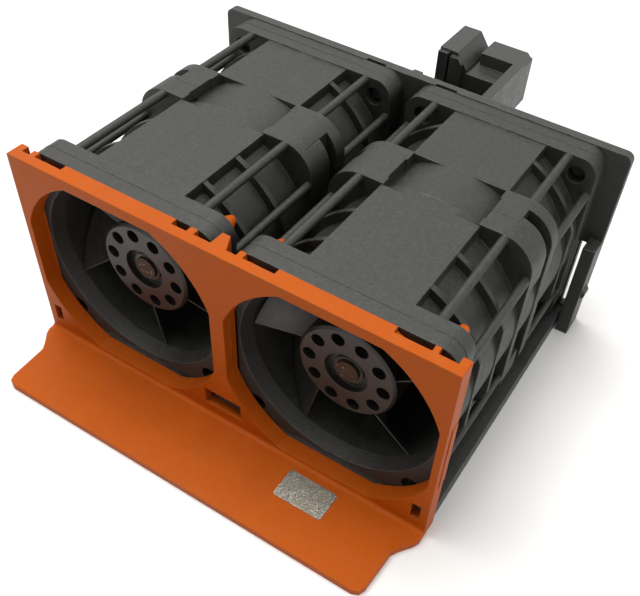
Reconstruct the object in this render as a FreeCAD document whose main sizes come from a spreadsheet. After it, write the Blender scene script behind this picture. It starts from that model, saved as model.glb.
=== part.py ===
# Dual fan module for a one-unit server: two counter-rotating 40 mm fans side by side,
# held between a snap-on front bezel and a moulded rear carrier with a blind-mate connector.
# Frame: millimetres, +X to the right seen from the inlet, +Y with the air flow, +Z up.
# Origin: mid-width, in the plane of the bezel face, on the underside of the lip and rails.
import FreeCAD, Part
import math
import os
import re

V = FreeCAD.Vector
doc = FreeCAD.newDocument("fan_module")
dims = doc.addObject("Spreadsheet::Sheet", "dims")

SIZES = [
    # fans
    ("fan_size", 40.0, "side of each square fan frame"),
    ("fan_gap", 3.5, "free space between the two fans"),
    ("fan_floor", 3.5, "height of the rails the fans stand on"),
    ("front_length", 29.7, "length of the inlet-side frame"),
    ("rear_length", 31.4, "length of the outlet-side frame"),
    ("flange_depth", 5.3, "thickness of the square end flanges"),
    ("corner_round", 3.6, "corner radius of the end flanges"),
    ("joint_round", 6.5, "corner radius of the flanges at the mid joint"),
    ("duct_wall", 1.0, "wall of the round duct"),
    ("duct_inset", 0.2, "duct surface below the sides of the frame"),
    ("pad_half", 9.4, "half width of the flat pads on top and underside"),
    ("pad_drop", 0.3, "pads below the sides of the frame"),
    ("bar_inset", 6.1, "corner rods, distance inside the frame side"),
    ("bar_radius", 0.8, "radius of the lengthwise corner rods"),
    ("ring_rise", 1.8, "height of the stiffening rings over the duct"),
    ("collar_rise", 0.5, "height of the joint collar over the duct"),
    ("ring_width", 1.0, "thickness of the stiffening rings"),
    ("hole_inset", 3.8, "fixing holes, distance inside the frame side"),
    ("hole_radius", 1.8, "radius of the fixing holes"),
    ("mouth_flare", 0.7, "inlet flare of the duct"),
    # mid joint
    ("joint_plate", 2.0, "thickness of the joint flange on the front frame"),
    ("joint_reach", 4.0, "reach of the front corner blocks over the rear frame"),
    ("joint_slot", 2.6, "open slot between corner block and rear frame strip"),
    ("joint_strip", 2.7, "thickness of the joint strip on the rear frame"),
    ("latch_narrow", 5.0, "width of the outer latch tongues"),
    ("latch_wide", 8.0, "width of the inner latch tongues"),
    # rotors
    ("tip_gap", 0.45, "running clearance of the blade tips"),
    ("hub_radius", 9.6, "outside radius of the rotor hub"),
    ("hub_wall", 1.2, "wall of the rotor hub"),
    ("hub_recess", 3.1, "hub face behind the flange face"),
    ("hub_length", 19.0, "length of the rotor hub"),
    ("hub_plate", 2.8, "thickness of the pierced hub face"),
    ("hub_hole", 1.3, "radius of the ten holes in the hub face"),
    ("hub_pitch", 7.3, "pitch radius of those holes"),
    ("groove_outer", 4.2, "outside radius of the groove round the hub centre"),
    ("groove_inner", 2.9, "inside radius of that groove"),
    ("groove_depth", 1.4, "depth of that groove"),
    ("centre_depth", 0.8, "hub centre below the hub face"),
    ("blade_start", 1.0, "leading edge behind the hub face"),
    ("blade_chord", 16.0, "blade length along the shaft"),
    ("blade_thick", 1.3, "blade thickness at the hub"),
    ("blade_sweep", 12.0, "forward sweep from hub to tip, degrees"),
    ("blade_rake", 1.8, "leading edge further forward at the tip"),
    ("blade_turn", 26.0, "blades turned from the hub holes, degrees"),
    # motors, drawn for one hub and one frame and changed with them
    ("motor_hub", 9.6, "hub radius that the radial sizes of the motor belong to"),
    ("motor_frame", 29.7, "shorter frame that the hub, core and blade lengths belong to"),
    ("yoke_wall", 0.8, "wall of the steel rotor cup"),
    ("magnet_wall", 1.2, "wall of the ring magnet"),
    ("air_gap", 0.3, "magnet to stator core"),
    ("fit_gap", 0.03, "radial slack of fitted cylinders"),
    ("shaft_radius", 1.0, "radius of the shaft"),
    ("boss_radius", 2.2, "radius of the boss that holds the shaft"),
    ("bearing_radius", 2.5, "outside radius of the ball bearings"),
    ("bearing_width", 2.3, "width of the ball bearings"),
    ("tube_wall", 0.75, "wall of the brass bearing tube"),
    ("core_length", 9.0, "stack height of the stator core"),
    ("board_thick", 1.0, "thickness of the motor circuit board"),
    ("run_gap", 0.5, "hub end to motor base"),
    ("base_web", 1.4, "thickness of the motor base plate"),
    ("strut_width", 1.4, "thickness of the motor struts"),
    # bezel
    ("bezel_wall", 2.0, "thickness of the bezel face"),
    ("seat_depth", 1.3, "seats that bear on the fan flanges"),
    ("side_wall", 1.55, "thickness of the bezel side walls"),
    ("side_depth", 3.5, "depth of the bezel side walls"),
    ("divider_depth", 5.0, "depth of the wedge between the fans"),
    ("slack", 0.05, "assembly slack beside the fans"),
    ("opening_extra", 1.6, "opening radius over half the fan size"),
    ("opening_side", 0.3, "opening flats outside the sides of the fans"),
    ("opening_drop", 1.7, "opening centre below the fan axis"),
    ("opening_top", 2.1, "bezel band above the openings"),
    ("opening_floor", 2.3, "lower edge of the openings"),
    ("shroud_wall", 1.5, "wall round the openings behind the bezel face"),
    ("peg_radius", 1.55, "radius of the fixing pegs"),
    ("peg_hole", 1.8, "hole radius that the peg radius belongs to"),
    ("hook_reach", 3.6, "length of the hooked peg tips"),
    ("lip_thick", 1.4, "thickness of the pull lip"),
    ("lip_reach", 16.0, "reach of the pull lip in front of the bezel"),
    ("lip_step", 3.0, "lip narrower than the bezel on each side"),
    ("slot_low", 4.1, "lower edge of the rail slots"),
    ("slot_high", 8.1, "upper edge of the rail slots"),
    ("slot_half", 4.1, "half width of the middle rail slot"),
    ("slot_side", 3.35, "width of the outer rail slots"),
    # carrier
    ("rail_outer", 2.8, "width of the outer rails"),
    ("rail_middle", 3.2, "half width of the middle rail"),
    ("plate_thick", 2.0, "thickness of the rear plate"),
    ("plate_extra", 2.7, "rear plate wider than the bezel on each side"),
    ("plate_over", 0.2, "rear plate higher than the fans"),
    ("plate_round", 1.6, "upper corner radius of the rear plate"),
    ("post_depth", 3.9, "depth of the rear corner posts"),
    ("post_height", 23.4, "height of the rear corner posts"),
    # connector
    ("plug_left", -1.2, "left side of the connector housing"),
    ("plug_width", 17.2, "width of the connector housing"),
    ("plug_height", 11.0, "height of the connector housing"),
    ("plug_reach", 24.1, "reach of the connector behind the rear plate"),
    ("plug_wall", 2.0, "wall of the connector housing"),
    ("tray_reach", 12.6, "wire tray between rear plate and connector"),
    ("trough_reach", 17.6, "trough beside the latch block of the connector"),
    ("latch_block", 6.6, "width of the latch block on the connector"),
    ("mouth_depth", 6.0, "depth of the connector mouth"),
    ("mouth_height", 4.4, "height of the connector mouth"),
    # label
    ("label_long", 10.0, "length of the bare label on the lip"),
    ("label_short", 6.0, "width of the bare label on the lip"),
    ("label_thick", 0.15, "thickness of the bare label"),
]
for row, (alias, value, note) in enumerate(SIZES, 1):
    dims.set("A%d" % row, note)
    dims.set("B%d" % row, str(value))
    dims.setAlias("B%d" % row, alias)
doc.recompute()
D = {alias: float(dims.get(alias)) for alias, value, note in SIZES}

BLADES_FRONT = 5
BLADES_REAR = 4
STRUTS = 5
TEETH = 6
HUB_HOLES = 10
CONTACTS = 4

# Derived lengths, written once and reused inside the expressions.
HALF = "(fan_size / 2)"
PITCH = "(fan_size + fan_gap)"
AXIS_Z = "(fan_floor + fan_size / 2)"
TOP = "(fan_floor + fan_size)"
FAN_FRONT = "(bezel_wall + seat_depth)"
FAN_REAR = "(bezel_wall + seat_depth + front_length + rear_length)"
BEZEL_HALF = "(fan_size + fan_gap / 2 + slack + side_wall)"
DUCT = "(fan_size / 2 - duct_inset)"
BORE = "(fan_size / 2 - duct_inset - duct_wall)"
TIP = "(fan_size / 2 - duct_inset - duct_wall - tip_gap)"
HOLE_AT = "(fan_size / 2 - hole_inset)"
PEG_R = "(peg_radius + hole_radius - peg_hole)"
LONGER = "(min(front_length; rear_length) - motor_frame)"
HUB_END = "(hub_recess + hub_length + %s)" % LONGER
YOKE_R = "(hub_radius - hub_wall - fit_gap)"
MAGNET_R = "(hub_radius - hub_wall - 2 * fit_gap - yoke_wall)"
CORE_R = "(hub_radius - hub_wall - 2 * fit_gap - yoke_wall - magnet_wall - air_gap)"
TUBE_R = "(bearing_radius + fit_gap + tube_wall)"
BASE_TOP = "(%s + run_gap)" % HUB_END
BOARD_AT = "(%s + 0.8)" % BASE_TOP
WEB_AT = "(%s + board_thick + 0.6)" % BOARD_AT
PLATE_HALF = "(fan_size + fan_gap / 2 + slack + side_wall + plate_extra)"
PLATE_BACK = "(bezel_wall + seat_depth + front_length + rear_length + plate_thick)"


WITH_HUB = ("hub_wall", "hub_hole", "hub_pitch", "groove_outer", "groove_inner", "yoke_wall", "magnet_wall",
            "shaft_radius", "boss_radius", "bearing_radius", "tube_wall")


def ex(text):
    """Turn a plain formula into an expression that reads the spreadsheet.

    Radial sizes inside the hub keep their share of it when the hub changes.
    """
    def swap(match):
        word = match.group(0)
        if word in WITH_HUB:
            return "(dims.%s * (dims.hub_radius / dims.motor_hub))" % word
        return "dims." + word if word in D else word
    return re.sub(r"[a-z][a-z_0-9]*", swap, text)


def bind(obj, **formulas):
    places = {"x": "Placement.Base.x", "y": "Placement.Base.y", "z": "Placement.Base.z"}
    for name, formula in formulas.items():
        obj.setExpression(places.get(name, name), ex(formula))
    return obj


def block(name, x0, x1, y0, y1, z0, z1):
    obj = doc.addObject("Part::Box", name)
    return bind(obj, Length="(%s) - (%s)" % (x1, x0), Width="(%s) - (%s)" % (y1, y0),
                Height="(%s) - (%s)" % (z1, z0), x=x0, y=y0, z=z0)


def rod(name, radius, y0, y1, x="0", z="0"):
    """Cylinder lying along +Y from y0 to y1."""
    obj = doc.addObject("Part::Cylinder", name)
    obj.Placement = FreeCAD.Placement(V(0, 0, 0), FreeCAD.Rotation(V(1, 0, 0), -90))
    return bind(obj, Radius=radius, Height="(%s) - (%s)" % (y1, y0), x=x, y=y0, z=z)


def taper(name, r0, r1, y0, y1, x="0", z="0"):
    """Cone frustum lying along +Y, radius r0 at y0 and r1 at y1."""
    obj = doc.addObject("Part::Cone", name)
    obj.Placement = FreeCAD.Placement(V(0, 0, 0), FreeCAD.Rotation(V(1, 0, 0), -90))
    return bind(obj, Radius1=r0, Radius2=r1, Height="(%s) - (%s)" % (y1, y0), x=x, y=y0, z=z)


def fuse(name, parts, refine=True):
    obj = doc.addObject("Part::MultiFuse", name)
    obj.Shapes = parts
    obj.Refine = refine
    return obj


def cut(name, base, tools, refine=True):
    tool = tools[0] if len(tools) == 1 else fuse(name + "_tools", tools)
    obj = doc.addObject("Part::Cut", name)
    obj.Base = base
    obj.Tool = tool
    obj.Refine = refine
    return obj


def common(name, first, second):
    obj = doc.addObject("Part::MultiCommon", name)
    obj.Shapes = [first, second]
    obj.Refine = True
    return obj


def sleeve(name, outer, inner, y0, y1):
    hole = rod(name + "_hole", inner, "(%s) - 1" % y0, "(%s) + 1" % y1)
    return cut(name, rod(name + "_body", outer, y0, y1), [hole])


def squared(name, half, rounding, y0, y1):
    """Square bar along +Y with rounded corners."""
    inner = "(%s - %s)" % (half, rounding)
    parts = [block(name + "_wide", "-" + half, half, y0, y1, "-" + inner, inner),
             block(name + "_tall", "-" + inner, inner, y0, y1, "-" + half, half)]
    for k, (sx, sz) in enumerate(((1, 1), (1, -1), (-1, 1), (-1, -1))):
        parts.append(rod("%s_corner_%d" % (name, k), rounding, y0, y1,
                         "%d * %s" % (sx, inner), "%d * %s" % (sz, inner)))
    return fuse(name, parts)


def fixed(name, shape):
    """Wrap a computed shape that no primitive covers."""
    obj = doc.addObject("Part::Feature", name)
    obj.Shape = shape
    return obj


def prism(name, points, z0, z1):
    """Upright prism from plan points."""
    ring = [V(x, y, z0) for x, y in points]
    face = Part.Face(Part.makePolygon(ring + ring[:1]))
    return fixed(name, face.extrude(V(0, 0, z1 - z0)))


def four(maker):
    """Repeat a feature at the four corners: maker(index, sign_x, sign_z)."""
    return [maker(k, sx, sz) for k, (sx, sz) in enumerate(((1, 1), (1, -1), (-1, 1), (-1, -1)))]


nodes = []


def node(label, source, x="0", y="0", z="0", turn=None):
    """Place a finished shape as a named sub-part."""
    doc.recompute()
    obj = doc.addObject("Part::Feature", "node_" + label)
    obj.Shape = source.Shape.copy()
    obj.Label = label
    rotation = turn or FreeCAD.Rotation()
    obj.Placement = FreeCAD.Placement(V(0, 0, 0), rotation)
    bind(obj, x=x, y=y, z=z)
    nodes.append(obj)
    return obj


# ---------------------------------------------------------------- fan frames
# Both frames are drawn with their axis on Y and y = 0 on the outer flange face.
def frame_body(tag, length, body_end):
    """Flange, round duct, flat pads and corner rods."""
    f = tag + "_"
    square = squared(f + "flange", HALF, "corner_round", "0", "flange_depth")
    duct = rod(f + "duct", DUCT, "0", length)
    parts = [square, duct]
    for k, sz in enumerate((1, -1)):
        top = "(%s - pad_drop)" % HALF
        low, high = ("fan_size / 4", top) if sz > 0 else ("-" + top, "-fan_size / 4")
        parts.append(block(f + "pad_%d" % k, "-pad_half", "pad_half", "1", body_end, low, high))
    edge = "(%s - bar_radius - 0.05)" % HALF
    for k in range(8):
        side, level = (1, -1)[k % 2], (1, -1)[k // 2 % 2]
        if k < 4:
            x, z = "%d * (%s - bar_inset)" % (side, HALF), "%d * %s" % (level, edge)
        else:
            x, z = "%d * %s" % (side, edge), "%d * (%s - bar_inset - 1.4)" % (level, HALF)
        parts.append(rod(f + "bar_%d" % k, "bar_radius", "1", body_end + " + 0.3", x, z))
    return parts


def frame_ring(name, at, rise="ring_rise", width="ring_width"):
    """Stiffening ring trimmed to the square outline of the frame."""
    ring = rod(name + "_disc", DUCT + " + " + rise, at, at + " + " + width)
    trim = block(name + "_trim", "-" + HALF, HALF, at + " - 1", at + " + " + width + " + 1",
                 "-(%s - pad_drop)" % HALF, "%s - pad_drop" % HALF)
    return common(name, ring, trim)


def motor_base(tag, length):
    """Cup that carries the motor, with struts out to the duct."""
    f = tag + "_base_"
    cup = rod(f + "cup", "hub_radius", BASE_TOP, length)
    boss = rod(f + "boss", TUBE_R + " + 1.2", WEB_AT, WEB_AT + " + base_web + 1.6")
    pocket = rod(f + "pocket", "hub_radius - 0.7", BASE_TOP + " - 1", BOARD_AT + " + board_thick")
    well = rod(f + "well", "hub_radius - 1.5", BASE_TOP, WEB_AT)
    hollow = rod(f + "hollow", "hub_radius - 1.2", WEB_AT + " + base_web", length + " + 1")
    socket = rod(f + "socket", TUBE_R + " + fit_gap", WEB_AT + " - 1", WEB_AT + " + base_web + 1.2")
    shell = cut(f + "shell", cup, [pocket, well, hollow])
    parts = [shell, boss]
    for k in range(STRUTS):
        strut = doc.addObject("Part::Box", f + "strut_%d" % k)
        angle = 90.0 + 360.0 * k / STRUTS
        strut.Placement = FreeCAD.Placement(V(0, 0, 0), FreeCAD.Rotation(V(0, 1, 0), -angle))
        bind(strut, Length=DUCT + " - hub_radius + 0.1", Width="(%s) - (%s) - 0.9" % (length, BASE_TOP),
             Height="strut_width",
             x="(hub_radius - 0.6) * cos(%s) + strut_width / 2 * sin(%s)" % (angle, angle),
             y=BASE_TOP + " + 0.9",
             z="(hub_radius - 0.6) * sin(%s) - strut_width / 2 * cos(%s)" % (angle, angle))
        parts.append(strut)
    return fuse(f + "spider", parts), socket


def fan_frame(tag, length, front):
    """One complete moulded frame; the joint features differ front to rear."""
    f = tag + "_"
    span = length if front else "(%s)" % length
    body_end = "(%s - joint_plate)" % span if front else \
        "(%s - joint_reach - joint_slot - joint_strip)" % span
    parts = frame_body(tag, length, body_end)
    rings = ["flange_depth + 0.17 * %s" % length, "flange_depth + 0.47 * %s" % length] if front \
        else ["flange_depth + 0.16 * %s" % length]
    for k, at in enumerate(rings):
        parts.append(frame_ring(f + "ring_%d" % k, at))
    window = block(f + "window", "-(pad_half - 0.3)", "pad_half - 0.3", body_end + " - 1",
                   span + " + joint_reach + 1", "-fan_size", "fan_size")
    if front:
        parts.append(frame_ring(f + "collar", body_end, "collar_rise", "joint_plate"))
        plate = squared(f + "joint", HALF, "joint_round", body_end, span)
        parts.append(cut(f + "joint_plate", plate, [window]))
        reach = squared(f + "reach", HALF, "joint_round", span + " - 0.5", span + " + joint_reach")
        keep = []
        for k, (sx, sz) in enumerate(((1, 1), (1, -1), (-1, 1), (-1, -1))):
            edge = "(pad_half + latch_wide + 0.1)" if sx > 0 else "(pad_half + latch_narrow + 0.1)"
            low, high = (edge, "fan_size") if sx > 0 else ("-fan_size", "-" + edge)
            bottom, top = ("pad_half", "fan_size") if sz > 0 else ("-fan_size", "-pad_half")
            keep.append(block(f + "keep_%d" % k, low, high, "0", span + " + 20", bottom, top))
        for k, sz in enumerate((1, -1)):
            bottom, top = ("pad_half", "fan_size") if sz > 0 else ("-fan_size", "-pad_half")
            keep.append(block(f + "step_%d" % k, "-(pad_half + latch_narrow + 0.2)", "-pad_half", "0",
                              span + " + joint_reach * 0.66", bottom, top))
        zone = common(f + "reach_zone", reach, fuse(f + "keep", keep))
        relief = rod(f + "relief", DUCT + " + 0.3", span, span + " + joint_reach + 1")
        parts.append(cut(f + "corner_blocks", zone, [relief]))
    else:
        strip = squared(f + "joint", HALF, "joint_round", body_end, body_end + " + joint_strip")
        tongue_bar = squared(f + "tongue", HALF, "joint_round", body_end + " + 1", span)
        keep = []
        for k, sz in enumerate((1, -1)):
            bottom, top = ("fan_size / 5", "fan_size") if sz > 0 else ("-fan_size", "-fan_size / 5")
            keep.append(block(f + "wide_%d" % k, "-(pad_half + latch_wide)", "-pad_half", "0",
                              span, bottom, top))
            keep.append(block(f + "narrow_%d" % k, "pad_half", "pad_half + latch_narrow", "0",
                              span + " - joint_reach * 0.66 - 0.1", bottom, top))
        tongues = common(f + "tongues", tongue_bar, fuse(f + "keep", keep))
        parts.append(cut(f + "joint_zone", fuse(f + "joint_all", [strip, tongues]), [window]))
    spider, socket = motor_base(tag, length)
    shell = cut(f + "shell", fuse(f + "solid", parts, refine=False),
                [rod(f + "bore", BORE, "-1", "%s + 10" % span),
                 taper(f + "mouth", BORE + " + mouth_flare", BORE, "-0.01", "3")], refine=False)
    holes = four(lambda k, sx, sz: rod(f + "hole_%d" % k, "hole_radius", "-1", "flange_depth + 0.01",
                                       "%d * %s" % (sx, HOLE_AT), "%d * %s" % (sz, HOLE_AT)))
    whole = fuse(f + "whole", [shell, spider], refine=False)
    return cut(f + "frame", whole, holes + [socket], refine=False)


# -------------------------------------------------------------------- rotors
def blade_form(angle, hand):
    """One blade between two ruled sections, longer than needed at hub and tip."""
    stations = (0.0, 0.25, 0.5, 0.75, 1.0)
    wrap = (31.0, 12.0, -5.0, -19.0, -30.0)
    fullness = (0.35, 0.9, 1.0, 0.8, 0.3)
    tip = D["fan_size"] / 2 - D["duct_inset"] - D["duct_wall"] - D["tip_gap"]
    inner = D["hub_radius"] * 0.7
    chord = D["blade_chord"] + min(D["front_length"], D["rear_length"]) - D["motor_frame"]
    outer = tip * 1.15
    wires = []
    for radius, thick in ((inner, D["blade_thick"]), (outer, D["blade_thick"] * 0.55)):
        share = (radius - D["hub_radius"]) / (tip - D["hub_radius"])
        lead, rake = D["blade_sweep"] * share, D["blade_rake"] * max(share, 0.0)
        theta = math.radians(angle + hand * lead)
        out = V(math.cos(theta), 0, math.sin(theta))
        along = V(-math.sin(theta), 0, math.cos(theta))
        sides = []
        for side in (1, -1):
            points = []
            for t, phi, full in zip(stations, wrap, fullness):
                depth = D["hub_recess"] + D["blade_start"] + chord * t - (1 - t) * rake
                shift = hand * radius * math.tan(math.radians(phi)) + side * thick * full / 2
                points.append(out * radius + along * shift + V(0, depth, 0))
            sides.append(points)
        curves = []
        for points in sides:
            spline = Part.BSplineCurve()
            spline.interpolate(points)
            curves.append(spline.toShape())
        ends = [Part.makeLine(sides[0][0], sides[1][0]), Part.makeLine(sides[0][-1], sides[1][-1])]
        wires.append(Part.Wire(Part.__sortEdges__(curves + ends)))
    return Part.makeLoft(wires, True, True)


def rotor(tag, blades, hand, phase):
    """Hub with ten holes in its face, shaft boss inside, swept blades outside."""
    f = tag + "_"
    hub = rod(f + "hub", "hub_radius", "hub_recess", HUB_END)
    bevel = taper(f + "bevel", "hub_radius - 0.5", "hub_radius", "hub_recess - 0.01",
                  "hub_recess + 0.5")
    nose = fuse(f + "nose", [bevel, rod(f + "rest", "hub_radius", "hub_recess + 0.49", HUB_END)])
    rounded = common(f + "rounded", hub, nose)
    inside = rod(f + "inside", "hub_radius - hub_wall", "hub_recess + hub_plate", HUB_END + " + 1")
    groove = sleeve(f + "groove", "groove_outer", "groove_inner", "hub_recess - 1",
                    "hub_recess + groove_depth")
    centre = rod(f + "centre", "groove_inner + 0.1", "hub_recess - 1", "hub_recess + centre_depth")
    tools = [inside, groove, centre]
    for k in range(HUB_HOLES):
        angle = phase - 36.0 * k
        tools.append(rod(f + "face_hole_%d" % k, "hub_hole", "hub_recess - 1", "hub_recess + hub_plate + 1",
                         "hub_pitch * cos(%s)" % angle, "hub_pitch * sin(%s)" % angle))
    cup = cut(f + "cup", rounded, tools)
    boss = rod(f + "boss", "boss_radius", "hub_recess + hub_plate - 0.1", "hub_recess + hub_plate + 2.3")
    first = phase + D["blade_turn"]
    forms = [fixed(f + "blade_%d" % k, blade_form(first + 360.0 * k / blades, hand)) for k in range(blades)]
    band = sleeve(f + "band", TIP, "hub_radius - hub_wall / 2", "0", HUB_END)
    wings = common(f + "wings", fuse(f + "blade_set", forms), band)
    whole = fuse(f + "whole", [cup, boss, wings])
    bore = rod(f + "bore", "shaft_radius", "hub_recess + groove_depth + 0.4", "hub_recess + hub_plate + 3")
    return cut(f + "rotor", whole, [bore])


# -------------------------------------------------------------------- motors
YOKE_AT = "(hub_recess + hub_plate)"
STACK_AT = "(hub_recess + hub_plate + 4.6)"


def yoke():
    cup = rod("yoke_cup", YOKE_R, YOKE_AT, HUB_END + " - 0.5")
    inside = rod("yoke_inside", YOKE_R + " - yoke_wall", YOKE_AT + " + yoke_wall", HUB_END)
    centre = rod("yoke_centre", "boss_radius + fit_gap", YOKE_AT + " - 1", YOKE_AT + " + 2")
    return cut("yoke", cup, [inside, centre])


def magnet():
    return sleeve("magnet", MAGNET_R, MAGNET_R + " - magnet_wall", YOKE_AT + " + 2.7",
                  HUB_END + " - 0.9")


def shaft():
    body = rod("shaft_body", "shaft_radius", "hub_recess + groove_depth + 0.45", WEB_AT + " + 0.3")
    point = taper("shaft_point", "shaft_radius", "shaft_radius * 0.7", WEB_AT + " + 0.3", WEB_AT + " + 0.7")
    return fuse("shaft", [body, point])


def bearings():
    pair = [sleeve("bearing_%d" % k, "bearing_radius", "shaft_radius + fit_gap", at, at + " + bearing_width")
            for k, at in enumerate((YOKE_AT + " + 3.3", BOARD_AT + " - 0.9"))]
    obj = doc.addObject("Part::Compound", "bearings")
    obj.Links = pair
    return obj


def tube():
    return sleeve("tube", TUBE_R, "bearing_radius + fit_gap", YOKE_AT + " + 2.7",
                  WEB_AT + " + base_web + 1.2")


def spoke(name, r0, r1, width, y0, y1, angle):
    """Radial bar for the stator, set at the given angle round the shaft."""
    obj = doc.addObject("Part::Box", name)
    obj.Placement = FreeCAD.Placement(V(0, 0, 0), FreeCAD.Rotation(V(0, 1, 0), -angle))
    return bind(obj, Length="(%s) - (%s)" % (r1, r0), Width="(%s) - (%s)" % (y1, y0), Height=width,
                x="(%s) * cos(%s) + (%s) / 2 * sin(%s)" % (r0, angle, width, angle), y=y0,
                z="(%s) * sin(%s) - (%s) / 2 * cos(%s)" % (r0, angle, width, angle))


SPOKE = "1.5"
RIM = "(%s - 0.8)" % CORE_R


def stator_core():
    """Laminated core: ring on the bearing tube, teeth and pole shoes."""
    end = "%s + core_length + %s" % (STACK_AT, LONGER)
    ring = rod("core_ring", TUBE_R + " + 0.8", STACK_AT, end)
    shoes = sleeve("core_rim", CORE_R, RIM, STACK_AT, end)
    gaps = [spoke("core_gap_%d" % k, RIM + " - 0.5", CORE_R + " + 1", "0.8", STACK_AT + " - 1", end + " + 1",
                  360.0 * (k + 0.5) / TEETH) for k in range(TEETH)]
    teeth = [spoke("core_tooth_%d" % k, TUBE_R + " + 0.3", RIM + " + 0.3", SPOKE, STACK_AT, end,
                   360.0 * k / TEETH) for k in range(TEETH)]
    whole = fuse("core_whole", [ring, cut("core_shoes", shoes, gaps)] + teeth)
    return cut("core", whole, [rod("core_bore", TUBE_R + " + fit_gap", STACK_AT + " - 1", end + " + 1")])


def windings():
    """One coil round each tooth of the core."""
    end = "%s + core_length + %s" % (STACK_AT, LONGER)
    coils = []
    for k in range(TEETH):
        angle = 360.0 * k / TEETH
        r0, r1 = TUBE_R + " + 0.85", RIM + " - 0.2"
        outer = spoke("coil_%d" % k, r0, r1, "2.6", STACK_AT + " - 1.1", end + " + 1.1", angle)
        inner = spoke("coil_core_%d" % k, r0 + " - 1", r1 + " + 1", SPOKE + " + 0.06",
                      STACK_AT + " - 0.03", end + " + 0.03", angle)
        coils.append(cut("coil_cut_%d" % k, outer, [inner]))
    obj = doc.addObject("Part::Compound", "windings")
    obj.Links = coils
    return obj


def board():
    return sleeve("board", "hub_radius - 0.75", TUBE_R + " + 0.2", BOARD_AT, BOARD_AT + " + board_thick")


# --------------------------------------------------------------------- bezel
FANS = ((-1, "left"), (1, "right"))


def corners(maker):
    """Repeat at the four corners of both fans: maker(name, x, z, outward sign, upward sign)."""
    made = []
    for side, label in FANS:
        for k, (sx, sz) in enumerate(((1, 1), (1, -1), (-1, 1), (-1, -1))):
            x = "%d * %s / 2 + %d * %s" % (side, PITCH, sx, HOLE_AT)
            z = "%s + %d * %s" % (AXIS_Z, sz, HOLE_AT)
            made.append(maker("%s_%d" % (label, k), x, z, sx, sz))
    return made


def opening(name, side, y0, y1, wall="0"):
    """Air opening, or the wall round it: a circle cut off by four flats."""
    centre = "%d * %s / 2" % (side, PITCH)
    disc = rod(name + "_disc", "%s + opening_extra + %s" % (HALF, wall), y0, y1, centre,
               AXIS_Z + " - opening_drop")
    reach = "(%s + opening_side + %s)" % (HALF, wall)
    flats = block(name + "_flats", centre + " - " + reach, centre + " + " + reach, "-2", FAN_FRONT + " + 1",
                  "opening_floor - " + wall, "%s - opening_top + %s" % (TOP, wall))
    return common(name, disc, flats)


def lip_fillet():
    """Concave corner between the lip and the bezel face, over the full width."""
    half = D["fan_size"] + D["fan_gap"] / 2 + D["slack"] + D["side_wall"]
    low = D["lip_thick"]
    corner = [(0.5, low - 0.4), (-0.8, low - 0.4), (-0.8, low), (-0.35, low + 0.12), (-0.1, low + 0.36),
              (0, low + 0.8), (0.5, low + 0.8)]
    wire = Part.makePolygon([V(-half, y, z) for y, z in corner + corner[:1]])
    return fixed("lip_fillet", Part.Face(wire).extrude(V(2 * half, 0, 0)))


def lip():
    half = D["fan_size"] + D["fan_gap"] / 2 + D["slack"] + D["side_wall"]
    front = -D["lip_reach"]
    step = half - D["lip_step"]
    right = [(half, 1.0), (half, -1.6), (half - 0.5, -2.8), (step + 0.7, -5.2), (step, -6.4),
             (step - 0.4, front + 1.7), (step - 0.9, front + 0.5), (step - 2.1, front)]
    return prism("lip", right + [(-x, y) for x, y in reversed(right)], 0, D["lip_thick"])


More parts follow.
